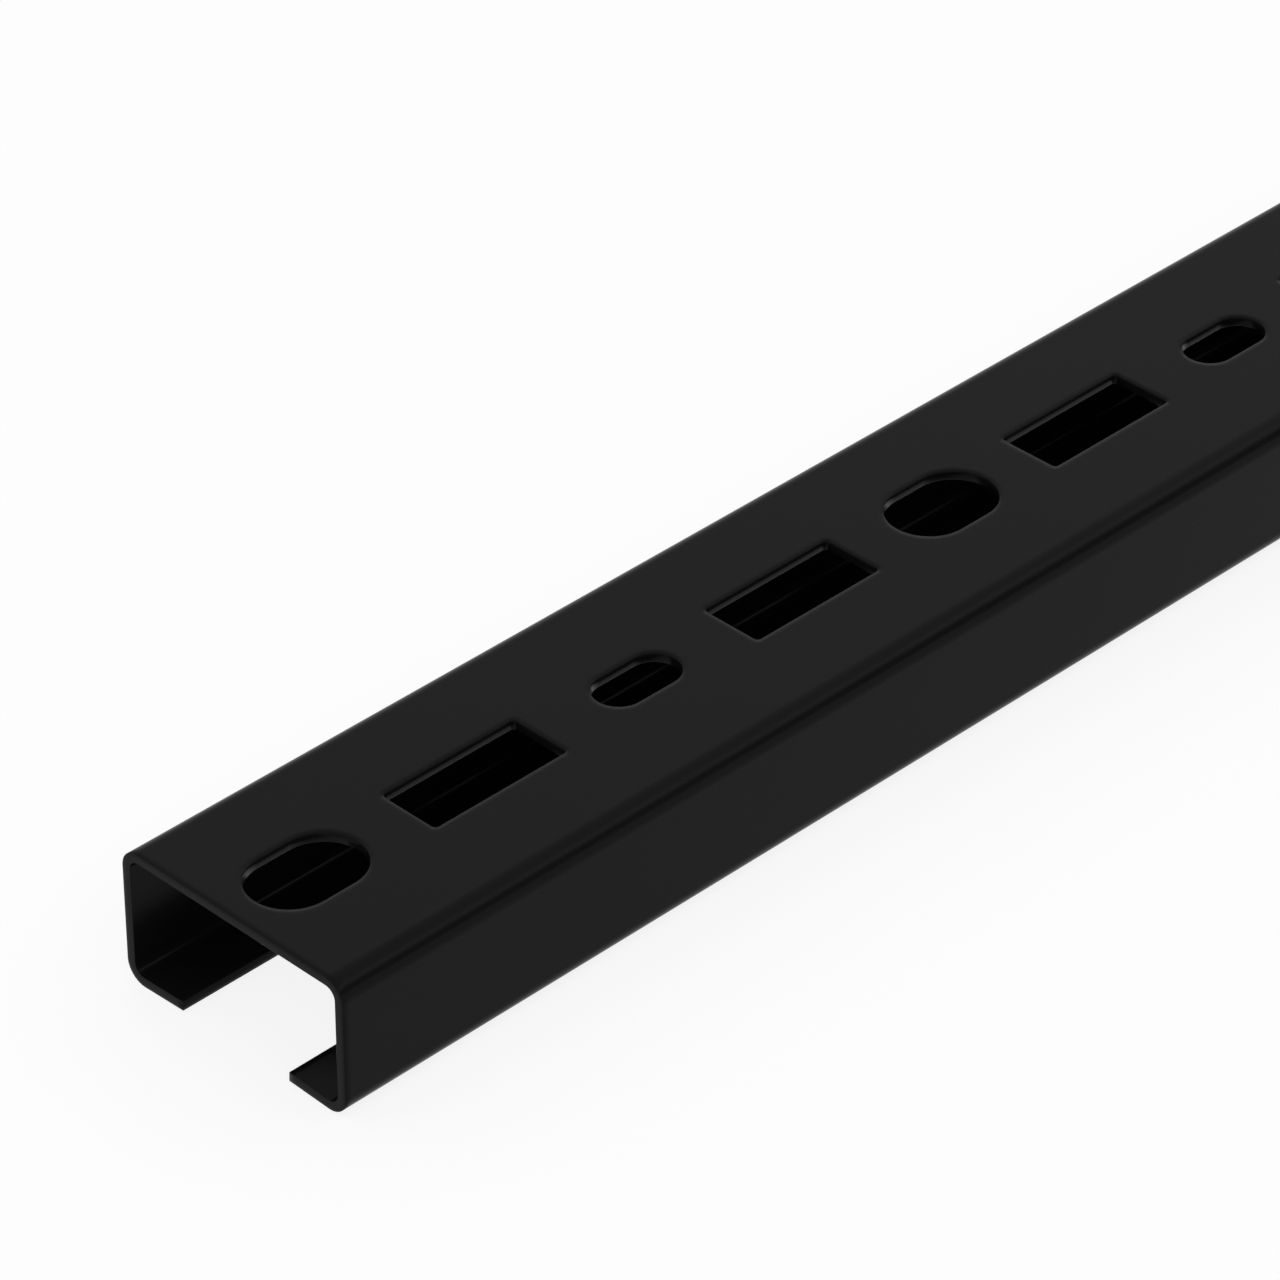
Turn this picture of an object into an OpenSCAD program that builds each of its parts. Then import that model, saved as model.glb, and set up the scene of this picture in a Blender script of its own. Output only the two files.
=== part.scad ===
// Perforated C-channel in powder-coated steel strip, cold formed in one piece.
// It lies with its web up and its slot down. X runs along the length, Y across it and Z up.
// The origin is midway along the length, on the centre line, at the level of the lips' lowest line.

/* [Section] */
// Length of the channel
rail_len = 1000; // [200:50:2000]
// Width over the two walls
rail_w = 35; // [32:0.5:45]
// Height from the lowest line of the lips to the web's outer face
rail_h = 18; // [15:0.5:30]
// Thickness of the coated strip
strip_t = 1.25; // [1:0.05:1.75]
// Inner radius of all four bends
bend_r = 1.4; // [1:0.1:2]
// Width of the slot between the two lips
slot_w = 17; // [14:0.5:19]
// Angle by which each lip rises towards its tip
lip_rise = 2.2; // [0:0.2:4]

/* [Punched holes] */
// Distance from one hole's centre to the next along the web
hole_pitch = 25; // [22:0.5:40]
// Least web left between a hole and the cut end
end_land = 3.5; // [2:0.5:6]
// Length of the wide oblong hole
wide_len = 15; // [13:0.5:18]
// Width of the wide oblong hole
wide_w = 10.4; // [9:0.1:12]
// Length of the narrow oblong hole
narrow_len = 12; // [9:0.5:16]
// Width of the narrow oblong hole
narrow_w = 6.4; // [5:0.1:8]
// Length of the rectangular hole
rect_len = 20; // [16:0.5:22]
// Width of the rectangular hole
rect_w = 8.5; // [7:0.1:12]
// Corner radius of the rectangular hole
rect_r = 0.5; // [0.3:0.1:1]

/* [Hidden] */
$fn = 96;
// How far each cutter stands out of the web, above and below
cut_over = 1;
// Outer radius of all four bends
bend_out = bend_r + strip_t;
// Distance of the bends' centres from the centre line
bend_y = rail_w / 2 - bend_out;
// Size of the square that a bend's sector is cut from
wedge = 2 * bend_out;
// The four holes of one repeat, as the length of each
HOLE_LENGTHS = [wide_len, rect_len, narrow_len, rect_len];
// Distance from the channel's end to the centre of the first hole
first_hole = end_land + wide_len / 2;
// Upper bound on the number of holes, before those that would break out are left off
hole_slots = floor(rail_len / hole_pitch) + 1;

function hole_x(k) = -rail_len / 2 + first_hole + k * hole_pitch;
function hole_fits(k) = hole_x(k) + HOLE_LENGTHS[k % 4] / 2 <= rail_len / 2 - end_land;

// A ring sector of the strip's thickness, from angle a0 to angle a1, less than half a turn
module bend(a0, a1) {
    mid = (a0 + a1) / 2;
    intersection() {
        difference() {
            circle(bend_out);
            circle(bend_r);
        }
        polygon([
            [0, 0],
            [wedge * cos(a0), wedge * sin(a0)],
            [wedge * cos(mid), wedge * sin(mid)],
            [wedge * cos(a1), wedge * sin(a1)]
        ]);
    }
}

// Half of the cross-section, on the +Y side, with Y across and Z up
module half_section() {
    wall_h = rail_h - 2 * bend_out;
    // A lip is cut square to the strip, so its lower edge is the one nearer the centre line
    lip_len = (bend_y - bend_out * sin(lip_rise) - slot_w / 2) / cos(lip_rise);
    translate([0, rail_h - strip_t])
        square([bend_y, strip_t]);
    translate([bend_y, rail_h - bend_out])
        bend(0, 90);
    translate([rail_w / 2 - strip_t, bend_out])
        square([strip_t, wall_h]);
    translate([bend_y, bend_out]) {
        bend(0, -90 - lip_rise);
        rotate(-lip_rise)
            translate([-lip_len, -bend_out])
                square([lip_len, strip_t]);
    }
}

module section() {
    half_section();
    mirror([1, 0])
        half_section();
}

// Cutter for a hole with two round ends, centred on the origin of the web's outer face
module oblong_cut(len, w, h) {
    between = len - w;
    for (side = [-1, 1])
        translate([side * between / 2, 0, 0])
            cylinder(h = h, d = w, center = true);
    cube([between, w, h], center = true);
}

// Cutter for a rectangular hole with small round corners
module rect_cut(len, w, r, h) {
    cube([len, w - 2 * r, h], center = true);
    cube([len - 2 * r, w, h], center = true);
    for (sx = [-1, 1], sy = [-1, 1])
        translate([sx * (len / 2 - r), sy * (w / 2 - r), 0])
            cylinder(h = h, r = r, center = true);
}

// The k-th hole of the row: wide oblong, rectangle, narrow oblong, rectangle, and again
module hole_cut(k) {
    kind = k % 4;
    cut_h = strip_t + 2 * cut_over;
    if (kind == 0)
        oblong_cut(wide_len, wide_w, cut_h);
    else if (kind == 2)
        oblong_cut(narrow_len, narrow_w, cut_h);
    else
        rect_cut(rect_len, rect_w, rect_r, cut_h);
}

module channel() {
    color([0.14, 0.14, 0.14])
        difference() {
            translate([-rail_len / 2, 0, 0])
                rotate([90, 0, 90])
                    linear_extrude(height = rail_len)
                        section();
            for (k = [0 : hole_slots - 1])
                if (hole_fits(k))
                    translate([hole_x(k), 0, rail_h - strip_t / 2])
                        hole_cut(k);
        }
}

channel();
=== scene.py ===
# %% [markdown]
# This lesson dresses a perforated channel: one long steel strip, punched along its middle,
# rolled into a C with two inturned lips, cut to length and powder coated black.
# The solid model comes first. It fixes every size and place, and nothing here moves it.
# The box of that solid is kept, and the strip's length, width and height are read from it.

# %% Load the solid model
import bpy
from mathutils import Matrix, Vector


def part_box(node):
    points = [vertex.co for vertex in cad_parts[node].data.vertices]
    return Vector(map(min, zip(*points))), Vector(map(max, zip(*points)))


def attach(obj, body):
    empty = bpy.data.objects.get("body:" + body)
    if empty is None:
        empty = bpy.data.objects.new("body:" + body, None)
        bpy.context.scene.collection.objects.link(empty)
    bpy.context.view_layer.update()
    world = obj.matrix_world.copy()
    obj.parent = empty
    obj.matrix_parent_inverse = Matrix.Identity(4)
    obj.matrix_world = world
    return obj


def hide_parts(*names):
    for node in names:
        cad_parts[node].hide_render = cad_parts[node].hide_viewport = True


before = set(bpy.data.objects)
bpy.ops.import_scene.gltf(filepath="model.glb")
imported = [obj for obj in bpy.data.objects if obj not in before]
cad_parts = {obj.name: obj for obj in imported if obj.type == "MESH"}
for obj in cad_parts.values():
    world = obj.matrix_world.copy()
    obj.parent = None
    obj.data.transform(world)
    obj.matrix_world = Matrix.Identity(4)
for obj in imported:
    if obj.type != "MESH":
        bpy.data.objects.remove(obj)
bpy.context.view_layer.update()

# %% [markdown]
# The camera stands above and to one side of the cut end and looks along the channel, so that
# the section, the holes and the long fold all show at once. A long lens from 0.7 m keeps the
# long edges almost parallel, as in a catalogue picture. Its place, its direction and its lens
# are written as plain sizes, so that the view can be set up again on any model of this size.

# %% Camera
import math
import bpy
from mathutils import Vector

CAMERA_PLACE = Vector((-0.85410, -0.41630, 0.43611))
VIEW_HEADING = math.radians(45.046)
VIEW_PITCH = math.radians(35.070)
LENS_MM = 181.77
SENSOR_MM = 36.0

heading = Vector((math.cos(VIEW_HEADING), math.sin(VIEW_HEADING), -math.tan(VIEW_PITCH)))
camera_data = bpy.data.cameras.new("camera")
camera_data.lens = LENS_MM
camera_data.sensor_width = SENSOR_MM
camera = bpy.data.objects.new("camera", camera_data)
camera.location = CAMERA_PLACE
camera.rotation_euler = heading.to_track_quat("-Z", "Y").to_euler()
bpy.context.scene.collection.objects.link(camera)
bpy.context.scene.camera = camera
print("camera looks down at", round(math.degrees(VIEW_PITCH), 1), "degrees")

# %% [markdown]
# Everything in the mesh follows from the strip's own sizes. Its length, width and height come
# from the solid model's box, and the thickness, the bends and the holes are written here once,
# in millimetres. The holes come in fours: a wide oblong, a rectangle, a narrow oblong and a
# rectangle again, one every 25 mm.

# %% Sizes of the strip, the bends and the holes
MM = 0.001
low_corner, high_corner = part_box("channel")
END_X = high_corner[0]
WALL_Y = high_corner[1]
WEB_TOP = high_corner[2]

STRIP = 1.25 * MM
BEND_IN = 1.4 * MM
BEND_OUT = BEND_IN + STRIP
LIP_RISE = math.radians(2.2)
SLOT_HALF = 8.5 * MM

HOLE_PITCH = 25 * MM
FIRST_HOLE = 11 * MM
WIDE_HOLE = (15 * MM, 10.4 * MM)
NARROW_HOLE = (12 * MM, 6.4 * MM)
RECT_HOLE = (20 * MM, 8.5 * MM)
RECT_CORNER = 0.5 * MM

BEND_Y = WALL_Y - BEND_OUT
TOP_BEND_Z = WEB_TOP - BEND_OUT
HALF_PITCH = HOLE_PITCH / 2
# The last hole keeps at least half a pitch to the far end
HOLE_COUNT = int((2 * END_X - FIRST_HOLE + HALF_PITCH) / HOLE_PITCH)
print("strip", STRIP / MM, "mm thick,", HOLE_COUNT, "holes")

# %% [markdown]
# A plain way to get this shape would be to cut holes with a Boolean modifier and soften the
# edges with a Bevel. On a thin punched strip that leaves ragged triangles, and they show as
# smears in a dark gloss. Here the skin is laid instead, as rows of points stitched
# with four-sided faces, or three-sided ones where two corners fall together. Each point also
# keeps the direction in which the coat looks there, and those directions become the mesh's
# own normals, so flat faces stay flat between edges.

# %% A skin of points, directions and faces
# Points nearer to each other than this, in metres, count as one
WELD = 1e-7


class Skin:
    """Points with their surface directions, and faces between them. Equal places share a point."""

    def __init__(self):
        self.places = []
        self.directions = []
        self.faces = []
        self.by_place = {}

    def point(self, place, direction):
        key = tuple(round(value / WELD) for value in place)
        if key not in self.by_place:
            self.by_place[key] = len(self.places)
            self.places.append(Vector(place))
            self.directions.append(Vector(direction).normalized())
        return self.by_place[key]

    def row(self, pairs):
        return [self.point(place, direction) for place, direction in pairs]

    def face(self, corners):
        corners = list(dict.fromkeys(corners))
        if len(corners) < 3:
            return
        first, second, third = (self.places[i] for i in corners[:3])
        facing = (second - first).cross(third - first)
        wanted = sum((self.directions[i] for i in corners), Vector())
        self.faces.append(corners if facing.dot(wanted) > 0 else corners[::-1])

    def stitch(self, rows):
        for row_a, row_b in zip(rows, rows[1:]):
            for i in range(len(row_a) - 1):
                self.face((row_a[i], row_a[i + 1], row_b[i + 1], row_b[i]))


skin = Skin()

# %% [markdown]
# A punch drags the strip's skin down a little before it shears, and the melted powder sags over
# the corner, so the surface starts to lean about a millimetre before a cut edge. A satin black
# shows that as a soft line along each rim. As a shape the lean would take about a fifth of a
# millimetre off the edge, so it is given to the directions only, and every size stays the solid
# model's own. The edge itself is a small quarter round in the mesh. One list of steps over a
# cut edge serves the holes and the lips' tips: how far back from the cut, how deep in the
# strip, and how far the direction has turned. A cut end is flatter than a punched hole, so it
# has less of the lean over its face and on its inner side.

# %% Steps over a cut edge
EDGE_ROUND = 0.06 * MM
LEAN_REACH = 1.0 * MM
LEAN_REACH_CUT = 0.75 * MM
LEAN_OUTSIDE = math.radians(32)
LEAN_INSIDE = math.radians(12)
LEAN_CUT_END = math.radians(13)
LEAN_INSIDE_END = math.radians(2)
LEAN_POWER = 1.9
QUARTER_TURN = math.radians(90)
EIGHTH_TURN = QUARTER_TURN / 2
HALF_TURN = 2 * QUARTER_TURN


def lean(distance, most, reach=LEAN_REACH):
    """How far the coat leans over, at a distance from an edge where it leans most."""
    return most * max(0, 1 - distance / reach) ** LEAN_POWER


def cut_turn(depth, outside, inside):
    """The direction's turn on a cut face, at a depth in the strip: about a quarter turn."""
    return QUARTER_TURN - lean(depth, outside, LEAN_REACH_CUT) + inside * depth / STRIP


BACK_STEPS = [part * LEAN_REACH for part in (1.0, 0.7, 0.45, 0.22)] + [EDGE_ROUND]
BACK_STEPS_UNDER = [EDGE_ROUND, LEAN_REACH / 2, LEAN_REACH]
DEPTH_COUNT = 5
DEPTH_STEPS = [EDGE_ROUND + (STRIP - 2 * EDGE_ROUND) * i / DEPTH_COUNT for i in range(DEPTH_COUNT + 1)]
# How far the middle of the rounded edge stands in from the sharp corner, each way
NIP = EDGE_ROUND * (1 - math.sqrt(0.5))

over_edge = [(back, 0, lean(back, LEAN_OUTSIDE)) for back in BACK_STEPS]
over_edge.append((NIP, NIP, EIGHTH_TURN))
over_edge += [(0, depth, cut_turn(depth, LEAN_OUTSIDE, LEAN_INSIDE)) for depth in DEPTH_STEPS]
over_edge.append((NIP, STRIP - NIP, HALF_TURN - EIGHTH_TURN))
over_edge += [(back, STRIP, HALF_TURN - lean(back, LEAN_INSIDE)) for back in BACK_STEPS_UNDER]
print("steps over a cut edge:", len(over_edge))

# %% [markdown]
# The section is drawn once, for the +Y side, as pairs of points across the strip: from the
# edge of the flat web round the top bend, down the wall, round the bottom bend and along the
# lip. The lip rises a little towards its tip, because the steel springs back after the rolls.
# Over the tip the chain follows the steps of a cut edge.

# %% Section of one side
BEND_STEPS = 10


def fan(start, stop, steps):
    """Equally spaced angles from start to stop, in degrees."""
    return [math.radians(start + (stop - start) * i / steps) for i in range(steps + 1)]


def ray(angle):
    return Vector((math.cos(angle), math.sin(angle)))


top_centre = Vector((BEND_Y, TOP_BEND_Z))
low_centre = Vector((BEND_Y, BEND_OUT))
bend_spots = [(top_centre, angle) for angle in fan(90, 0, BEND_STEPS)]
bend_spots += [(low_centre, angle) for angle in fan(0, -90, BEND_STEPS)]
bend_spots.append((low_centre, -QUARTER_TURN - LIP_RISE))
lip_down = ray(-QUARTER_TURN - LIP_RISE)
lip_along = Vector((lip_down.y, -lip_down.x))
lip_start = low_centre + BEND_OUT * lip_down
lip_tip = lip_start + lip_along * (lip_start.x - SLOT_HALF) / math.cos(LIP_RISE)

# Each entry holds the outer place, the outward direction and the lean along the strip
side_pairs = [(centre + BEND_OUT * ray(angle), ray(angle), Vector((0, 0))) for centre, angle in bend_spots]
for back in BACK_STEPS:
    side_pairs.append((lip_tip - lip_along * back, lip_down, lip_along * math.tan(lean(back, LEAN_OUTSIDE))))


def tip_chain():
    """Points over the lip's tip: place, direction for insetting and direction of the coat."""
    chain = []
    for back, depth, turn in over_edge[len(BACK_STEPS):-len(BACK_STEPS_UNDER)]:
        place = lip_tip - lip_along * back - lip_down * depth
        coat = lip_down * math.cos(turn) + lip_along * math.sin(turn)
        square = lip_along
        if back > 0:
            square = (lip_along + lip_down * math.copysign(1, STRIP / 2 - depth)).normalized()
        chain.append((place, square, coat))
    return chain


side_chain = [(place, look, look + slant) for place, look, slant in side_pairs]
side_chain += tip_chain()
side_chain += [(place - look * STRIP, -look, slant - look) for place, look, slant in side_pairs[::-1]]
print("points round one side of the section:", len(side_chain))

# %% [markdown]
# Each hole's outline is made for a quarter turn and then mirrored, so the four quarters match
# exactly. Every point also knows which way the steel lies from it. All outlines have the same
# number of points as the rectangle of web around them, so ring after ring can be stitched
# from the rim out to that rectangle, whatever the shape of the hole.

# %% Outlines of the holes
ALONG_STEPS = 4
ACROSS_STEPS = 10
QUARTER_STEPS = ALONG_STEPS + ACROSS_STEPS
OBLONG_SIDE_STEPS = 3
RECT_END_STEPS = 3
RECT_CORNER_STEPS = 5


def spread(start, stop, steps):
    """Equally spaced points on the line from start to stop, without the last."""
    return [start.lerp(stop, i / steps) for i in range(steps)]


def oblong_quarter(size):
    """A quarter of a hole with round ends, from its end to the middle of its long side."""
    length, width = size
    radius = width / 2
    centre = Vector((length / 2 - radius, 0))
    arc = fan(0, 90, QUARTER_STEPS - OBLONG_SIDE_STEPS)
    quarter = [(centre + ray(a) * radius, ray(a)) for a in arc[:-1]]
    side = spread(Vector((centre.x, radius)), Vector((0, radius)), OBLONG_SIDE_STEPS)
    quarter += [(place, Vector((0, 1))) for place in side]
    quarter.append((Vector((0, radius)), Vector((0, 1))))
    return quarter


def rect_quarter(size):
    """A quarter of a rectangular hole with small round corners, from its end to its long side."""
    half = Vector(size) / 2
    centre = half - Vector((RECT_CORNER, RECT_CORNER))
    side_steps = QUARTER_STEPS - RECT_END_STEPS - RECT_CORNER_STEPS
    end = spread(Vector((half.x, 0)), Vector((half.x, centre.y)), RECT_END_STEPS)
    quarter = [(place, Vector((1, 0))) for place in end]
    quarter += [(centre + ray(a) * RECT_CORNER, ray(a)) for a in fan(0, 90, RECT_CORNER_STEPS)[:-1]]
    side = spread(Vector((centre.x, half.y)), Vector((0, half.y)), side_steps)
    quarter += [(place, Vector((0, 1))) for place in side]
    quarter.append((Vector((0, half.y)), Vector((0, 1))))
    return quarter


def cell_quarter():
    """A quarter of the unit square, with as many points as a quarter of a hole."""
    edge = spread(Vector((1, 0)), Vector((1, 1)), ACROSS_STEPS)
    edge += spread(Vector((1, 1)), Vector((0, 1)), ALONG_STEPS)
    edge.append(Vector((0, 1)))
    return [(place, place) for place in edge]


def all_round(quarter):
    """The closed outline from its first quarter, anticlockwise, ending where it began."""
    loop = []
    for x, y, part in ((1, 1, quarter[:-1]), (-1, 1, quarter[:0:-1]),
                       (-1, -1, quarter[:-1]), (1, -1, quarter[:0:-1])):
        flip = Vector((x, y))
        loop += [(place * flip, look * flip) for place, look in part]
    return loop + loop[:1]


wide_outline = all_round(oblong_quarter(WIDE_HOLE))
narrow_outline = all_round(oblong_quarter(NARROW_HOLE))
rect_outline = all_round(rect_quarter(RECT_HOLE))
cell_outline = all_round(cell_quarter())
OUTLINES = (wide_outline, rect_outline, narrow_outline, rect_outline)
print("points in each outline:", len(cell_outline) - 1)

# %% [markdown]
# The web is a row of cells, one for each punched hole. In a cell the skin runs from the
# rectangle's edge over the top face to the rim, over the cut edge down through the strip, and
# back under the web to the rectangle. The first and last cells stop where the coat starts to
# lean towards the cut ends.

# %% Cells of the web, one for each hole
UP = Vector((0, 0, 1))


def cell_edges(k):
    """Where cell k starts, where its hole is centred, and where it ends, along the channel."""
    centre = -END_X + FIRST_HOLE + k * HOLE_PITCH
    start = -END_X + LEAN_REACH if k == 0 else centre - HALF_PITCH
    stop = END_X - LEAN_REACH if k == HOLE_COUNT - 1 else centre + HALF_PITCH
    return start, centre, stop


def cell_border(k, depth, look):
    """The cell's rectangle on one face of the web, point for point with the hole's outline."""
    start, centre, stop = cell_edges(k)
    border = []
    for place, _ in cell_outline:
        reach = stop - centre if place.x > 0 else centre - start
        border.append(((centre + place.x * reach, place.y * BEND_Y, WEB_TOP - depth), look))
    return border


def hole_rings(k):
    """Rings over the cut edge of hole k, from the top face to the under face."""
    centre = Vector((cell_edges(k)[1], 0))
    rings = []
    for back, depth, turn in over_edge:
        ring = []
        for place, out in OUTLINES[k % len(OUTLINES)]:
            spot = centre + place + out * back
            coat = UP * math.cos(turn) - out.to_3d() * math.sin(turn)
            ring.append(((spot.x, spot.y, WEB_TOP - depth), coat))
        rings.append(ring)
    return rings


for k in range(HOLE_COUNT):
    rings = [cell_border(k, 0, UP)] + hole_rings(k) + [cell_border(k, STRIP, -UP)]
    skin.stitch([skin.row(ring) for ring in rings])
print("faces in the web:", len(skin.faces))

# %% [markdown]
# Each side of the section is then swept along the channel. Its stations are the same ones at
# which the cells have points on their long edges, so the two meet point to point and the skin
# stays closed. A closed skin is what a workshop needs to cut, print or weigh the part.

# %% Sweep the two sides


def stations():
    """Every place along the channel at which the cells have points on their long edges."""
    found = []
    for k in range(HOLE_COUNT):
        start, centre, stop = cell_edges(k)
        found += [centre - (centre - start) * i / ALONG_STEPS for i in range(ALONG_STEPS, 0, -1)]
        found += [centre + (stop - centre) * i / ALONG_STEPS for i in range(ALONG_STEPS)]
    return found + [END_X - LEAN_REACH]


def side_row(x, hand):
    """The chain of one side at x. hand is 1 for the +Y side and -1 for the -Y side."""
    return [((x, p.x * hand, p.y), (0, coat.x * hand, coat.y)) for p, _, coat in side_chain]


for hand in (1, -1):
    skin.stitch([skin.row(side_row(x, hand)) for x in stations()])
print("faces with the sides:", len(skin.faces))

# %% [markdown]
# The two cut ends use the outer distances of the other cut edges on both sides of the strip.
# The closed outline of the section is stepped towards the end and round its edge, with each
# point moving square to the surface, and the flat cut face is then laid across the strip from
# the outer to the inner side.

# %% Round and close the cut ends


def web_pairs():
    """Pairs across the web from -Y to +Y, matching the cells' edges."""
    steps = [i / ACROSS_STEPS for i in range(-ACROSS_STEPS, ACROSS_STEPS + 1)]
    return [(Vector((step * BEND_Y, WEB_TOP)), Vector((0, 1)), Vector((0, 0))) for step in steps]


def mirrored(chain):
    flip = Vector((-1, 1))
    return [tuple(part * flip for part in point) for point in chain]


def whole_outline():
    """The closed outline of the section, from the web's -Y edge, and which points are outside."""
    web = [((place, look, look), True) for place, look, _ in web_pairs()]
    under = [((place - look * STRIP, -look, -look), False) for place, look, _ in web_pairs()[::-1]]
    outside = [i < len(side_pairs) for i in range(len(side_chain))]
    side = list(zip(side_chain, outside))
    other_side = list(zip(mirrored(side_chain), outside))[::-1]
    return web + side[1:] + under[1:] + other_side[1:]


def end_ring(outline, end, back, inset, turns):
    """The outline near one end, moved in by inset. turns is for outside and for inside points."""
    x = end * (END_X - back)
    ring = []
    for (place, square, coat), outside in outline:
        turn = turns[0] if outside else turns[1]
        spot = place - square * inset
        coat = coat.normalized() * math.cos(turn)
        ring.append(((x, spot.x, spot.y), (end * math.sin(turn), coat.x, coat.y)))
    return ring


def end_turn(depth):
    return cut_turn(depth, LEAN_CUT_END, LEAN_INSIDE_END)


def cut_face_row(pairs, end, depth):
    """A line of points on the cut face, at one depth in the strip all along the section."""
    turn = end_turn(depth)
    row = []
    for place, look, slant in pairs:
        spot = place - look * depth
        coat = look * math.cos(turn) + slant
        row.append(((end * END_X, spot.x, spot.y), (end * math.sin(turn), coat.x, coat.y)))
    return row


outline = whole_outline()
all_pairs = mirrored(side_pairs)[:0:-1] + web_pairs() + side_pairs[1:]
for end in (-1, 1):
    rings = []
    for back in BACK_STEPS:
        turns = (lean(back, LEAN_OUTSIDE), lean(back, LEAN_INSIDE_END))
        rings.append(end_ring(outline, end, back, 0, turns))
    rings.append(end_ring(outline, end, NIP, NIP, (EIGHTH_TURN, EIGHTH_TURN)))
    turns = (end_turn(EDGE_ROUND), HALF_TURN - end_turn(STRIP - EDGE_ROUND))
    rings.append(end_ring(outline, end, 0, EDGE_ROUND, turns))
    skin.stitch([skin.row(ring) for ring in rings])
    skin.stitch([skin.row(cut_face_row(all_pairs, end, depth)) for depth in DEPTH_STEPS])
print("faces in all:", len(skin.faces))

# %% [markdown]
# The skin becomes one mesh, and its own directions are set as the mesh's normals. A quick
# test counts the edges that don't have exactly two faces: none may be left, or the mesh has a
# hole or a stray face. The new piece rides on the channel's body and stands for its solid.

# %% Make the channel's mesh
import bmesh


def make_channel():
    mesh = bpy.data.meshes.new("channel_skin")
    mesh.from_pydata([tuple(place) for place in skin.places], [], skin.faces)
    mesh.shade_smooth()
    mesh.normals_split_custom_set_from_vertices([tuple(look) for look in skin.directions])
    piece = bpy.data.objects.new("channel_skin", mesh)
    bpy.context.scene.collection.objects.link(piece)
    return piece


def open_edges(mesh):
    probe = bmesh.new()
    probe.from_mesh(mesh)
    count = sum(1 for edge in probe.edges if len(edge.link_faces) != 2)
    probe.free()
    return count


channel = make_channel()
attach(channel, "root")
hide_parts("channel")
print("edges without two faces:", open_edges(channel.data))

# %% [markdown]
# The finish is a satin black powder coat. Up close it has a fine orange peel, left when the
# melted powder sets, and its sheen wanders a little from place to place. Both come from noise
# in the object's own space, so they keep their real scale on every face. They sit in a node
# group with named inputs, because the same grain can serve any other coated piece.

# %% Node group for the coat's grain
PEEL_PER_METRE = 900.0
PEEL_DETAIL = 2.0
DRIFT_PER_METRE = 40.0
DRIFT_DETAIL = 3.0


def socket(group, name, kind, where, value=None):
    made = group.interface.new_socket(name, in_out=where, socket_type=kind)
    if value is not None:
        made.default_value = value
    return made


def coat_grain_group():
    group = bpy.data.node_groups.new("coat_grain", "ShaderNodeTree")
    socket(group, "Peel per metre", "NodeSocketFloat", "INPUT", PEEL_PER_METRE)
    socket(group, "Drift per metre", "NodeSocketFloat", "INPUT", DRIFT_PER_METRE)
    socket(group, "Peel", "NodeSocketFloat", "OUTPUT")
    socket(group, "Drift", "NodeSocketFloat", "OUTPUT")
    nodes, links = group.nodes, group.links
    inside = nodes.new("NodeGroupInput")
    outside = nodes.new("NodeGroupOutput")
    space = nodes.new("ShaderNodeTexCoord")
    for scale_name, out_name, detail in (("Peel per metre", "Peel", PEEL_DETAIL),
                                         ("Drift per metre", "Drift", DRIFT_DETAIL)):
        noise = nodes.new("ShaderNodeTexNoise")
        noise.inputs["Detail"].default_value = detail
        links.new(space.outputs["Object"], noise.inputs["Vector"])
        links.new(inside.outputs[scale_name], noise.inputs["Scale"])
        links.new(noise.outputs["Fac"], outside.inputs[out_name])
    return group


coat_grain = coat_grain_group()
print("coat's grain:", PEEL_PER_METRE, "and", DRIFT_PER_METRE, "to the metre")

# %% [markdown]
# The coat itself is almost black, a little paler where it is thin. Most of its tone is the
# room that it mirrors, so its specular level is what decides how dark the flat faces look.

# %% Powder coat
COAT_COLOUR = (0.0042, 0.0044, 0.0043, 1.0)
COAT_THIN_COLOUR = (0.0052, 0.0054, 0.0053, 1.0)
SPECULAR_LEVEL = 0.056
SMOOTH_ROUGHNESS = 0.22
DULL_ROUGHNESS = 0.28
PEEL_STRENGTH = 0.1
PEEL_DEPTH = 0.02 * MM


def powder_coat():
    material = bpy.data.materials.new("powder_coat")
    material.use_nodes = True
    nodes, links = material.node_tree.nodes, material.node_tree.links
    shader = nodes["Principled BSDF"]
    shader.inputs["Specular IOR Level"].default_value = SPECULAR_LEVEL
    grain = nodes.new("ShaderNodeGroup")
    grain.node_tree = coat_grain
    tone = nodes.new("ShaderNodeMix")
    tone.data_type = "RGBA"
    tone.inputs["A"].default_value = COAT_COLOUR
    tone.inputs["B"].default_value = COAT_THIN_COLOUR
    links.new(grain.outputs["Drift"], tone.inputs["Factor"])
    links.new(tone.outputs["Result"], shader.inputs["Base Color"])
    sheen = nodes.new("ShaderNodeMapRange")
    sheen.inputs["To Min"].default_value = SMOOTH_ROUGHNESS
    sheen.inputs["To Max"].default_value = DULL_ROUGHNESS
    links.new(grain.outputs["Drift"], sheen.inputs["Value"])
    links.new(sheen.outputs["Result"], shader.inputs["Roughness"])
    bump = nodes.new("ShaderNodeBump")
    bump.inputs["Strength"].default_value = PEEL_STRENGTH
    bump.inputs["Distance"].default_value = PEEL_DEPTH
    links.new(grain.outputs["Peel"], bump.inputs["Height"])
    links.new(bump.outputs["Normal"], shader.inputs["Normal"])
    return material


channel.data.materials.append(powder_coat())
print("looks on the channel:", [material.name for material in channel.data.materials])

# %% [markdown]
# The channel lies on a plain white floor, as in a catalogue picture. The floor's paint is
# almost white, and a share of pure white is mixed in for the camera, so that the picture's
# ground is white while the channel still casts its soft shadow. What the glossy coat mirrors
# of the floor is white too, but a little dimmer, which sets the tone of the upright walls.

# %% White floor
FLOOR_HALF = 40.0
FLOOR_COLOUR = (0.95, 0.95, 0.95, 1.0)
WHITE_SEEN = 0.85
WHITE_MIRRORED = 1.0
MIRRORED_LEVEL = 0.85


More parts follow.
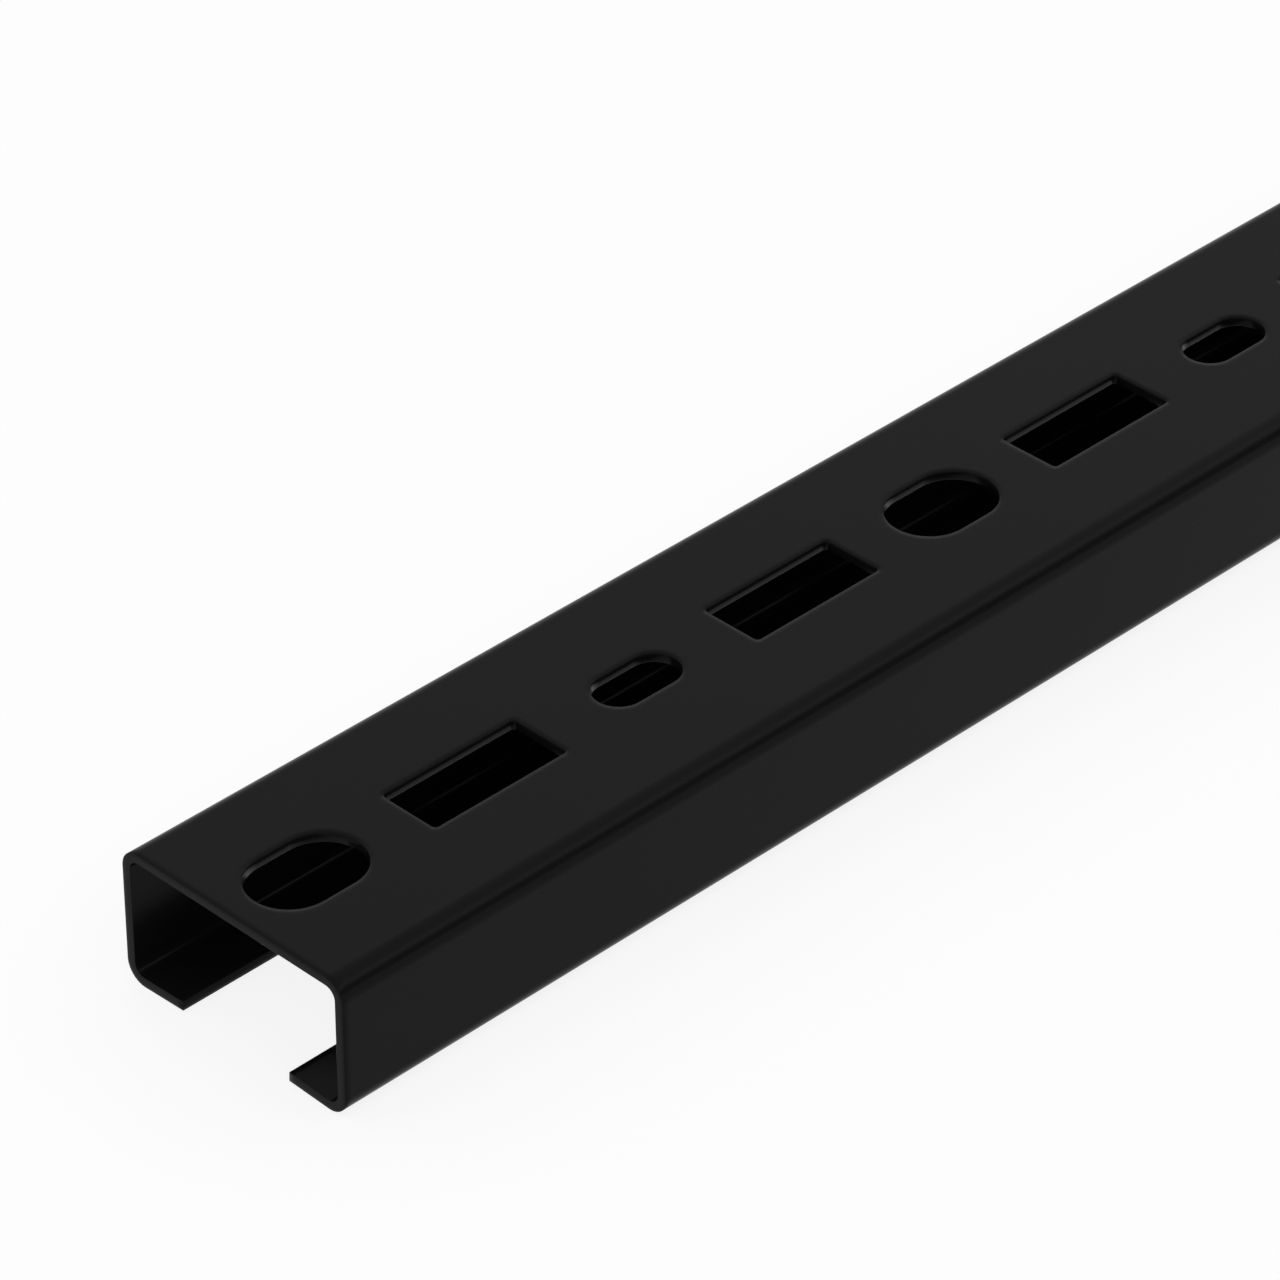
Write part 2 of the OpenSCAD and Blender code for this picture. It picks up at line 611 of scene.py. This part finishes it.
def floor_paint():
    paint = bpy.data.materials.new("floor_paint")
    paint.use_nodes = True
    nodes, links = paint.node_tree.nodes, paint.node_tree.links
    nodes.remove(nodes["Principled BSDF"])
    lit = nodes.new("ShaderNodeBsdfDiffuse")
    lit.inputs["Color"].default_value = FLOOR_COLOUR
    white = nodes.new("ShaderNodeEmission")
    path = nodes.new("ShaderNodeLightPath")
    dim = nodes.new("ShaderNodeMath")
    dim.operation = "MULTIPLY_ADD"
    dim.inputs[1].default_value = MIRRORED_LEVEL - 1
    dim.inputs[2].default_value = 1.0
    links.new(path.outputs["Is Glossy Ray"], dim.inputs[0])
    links.new(dim.outputs[0], white.inputs["Strength"])
    share = None
    for ray_name, part in (("Is Camera Ray", WHITE_SEEN), ("Is Glossy Ray", WHITE_MIRRORED),
                           ("Is Transmission Ray", WHITE_MIRRORED)):
        sum_up = nodes.new("ShaderNodeMath")
        sum_up.operation = "MULTIPLY_ADD"
        sum_up.inputs[1].default_value = part
        sum_up.inputs[2].default_value = 0.0
        links.new(path.outputs[ray_name], sum_up.inputs[0])
        if share:
            links.new(share, sum_up.inputs[2])
        share = sum_up.outputs[0]
    blend = nodes.new("ShaderNodeMixShader")
    links.new(share, blend.inputs["Fac"])
    links.new(lit.outputs["BSDF"], blend.inputs[1])
    links.new(white.outputs["Emission"], blend.inputs[2])
    links.new(blend.outputs["Shader"], nodes["Material Output"].inputs["Surface"])
    return paint


def floor():
    mesh = bpy.data.meshes.new("floor")
    half = FLOOR_HALF
    corners = [(-half, -half, 0), (half, -half, 0), (half, half, 0), (-half, half, 0)]
    mesh.from_pydata(corners, [], [(0, 1, 2, 3)])
    mesh.materials.append(floor_paint())
    slab = bpy.data.objects.new("floor", mesh)
    bpy.context.scene.collection.objects.link(slab)
    return slab


floor()
print("floor's side:", 2 * FLOOR_HALF, "m")

# %% [markdown]
# A black gloss shows nothing but what stands around it. The light is a soft pale sky, at a
# level at which a colour renders about as it is written. It is pale at the horizon, dimmer low
# over the floor, and pale again from about 30 degrees up, brightest near 40. To the right of
# the view it has a dark band under a bright one, like the gap under a soft box. The round fold
# mirrors that gap as one thin dark line along its length.

# %% Sky
# Each pair is a height, from 0 at the horizon to 1 overhead, and a level
PLAIN_SKY = ((0.00, 1.00), (0.07, 1.00), (0.12, 0.72), (0.44, 0.72), (0.53, 0.93), (0.58, 1.04),
             (0.63, 1.22), (0.70, 1.10), (0.80, 0.92), (1.00, 0.92))
RIGHT_SKY = ((0.00, 1.60), (0.05, 1.30), (0.13, 0.85), (0.23, 0.10), (0.42, 0.10), (0.53, 0.50),
             (0.625, 2.30), (0.675, 2.15), (0.75, 0.90), (1.00, 0.92))
RIGHT_HEADING = math.radians(-50)
RIGHT_FROM = 0.2
RIGHT_TO = 0.6
TOP_LEVEL = 2.5


def height_ramp(nodes, links, height, steps):
    """Colours by height above the horizon, held as shares of TOP_LEVEL."""
    bands = nodes.new("ShaderNodeValToRGB")
    ramp = bands.color_ramp
    for place, _ in steps[1:-1]:
        ramp.elements.new(place)
    for element, (place, level) in zip(ramp.elements, steps):
        element.position = place
        element.color = (level / TOP_LEVEL,) * 3 + (1.0,)
    links.new(height, bands.inputs["Fac"])
    return bands.outputs["Color"]


def sky():
    world = bpy.data.worlds.new("sky")
    world.use_nodes = True
    nodes, links = world.node_tree.nodes, world.node_tree.links
    space = nodes.new("ShaderNodeTexCoord")
    parts = nodes.new("ShaderNodeSeparateXYZ")
    links.new(space.outputs["Generated"], parts.inputs["Vector"])
    side = nodes.new("ShaderNodeVectorMath")
    side.operation = "DOT_PRODUCT"
    side.inputs[1].default_value = (math.cos(RIGHT_HEADING), math.sin(RIGHT_HEADING), 0)
    links.new(space.outputs["Generated"], side.inputs[0])
    mask = nodes.new("ShaderNodeMapRange")
    mask.interpolation_type = "SMOOTHSTEP"
    mask.inputs["From Min"].default_value = RIGHT_FROM
    mask.inputs["From Max"].default_value = RIGHT_TO
    links.new(side.outputs["Value"], mask.inputs["Value"])
    blend = nodes.new("ShaderNodeMix")
    blend.data_type = "RGBA"
    links.new(mask.outputs["Result"], blend.inputs["Factor"])
    links.new(height_ramp(nodes, links, parts.outputs["Z"], PLAIN_SKY), blend.inputs["A"])
    links.new(height_ramp(nodes, links, parts.outputs["Z"], RIGHT_SKY), blend.inputs["B"])
    links.new(blend.outputs["Result"], nodes["Background"].inputs["Color"])
    nodes["Background"].inputs["Strength"].default_value = TOP_LEVEL
    return world


bpy.context.scene.world = sky()
bpy.context.scene.view_settings.view_transform = "Standard"
print("brightest level in the sky:", max(level for _, level in PLAIN_SKY + RIGHT_SKY))
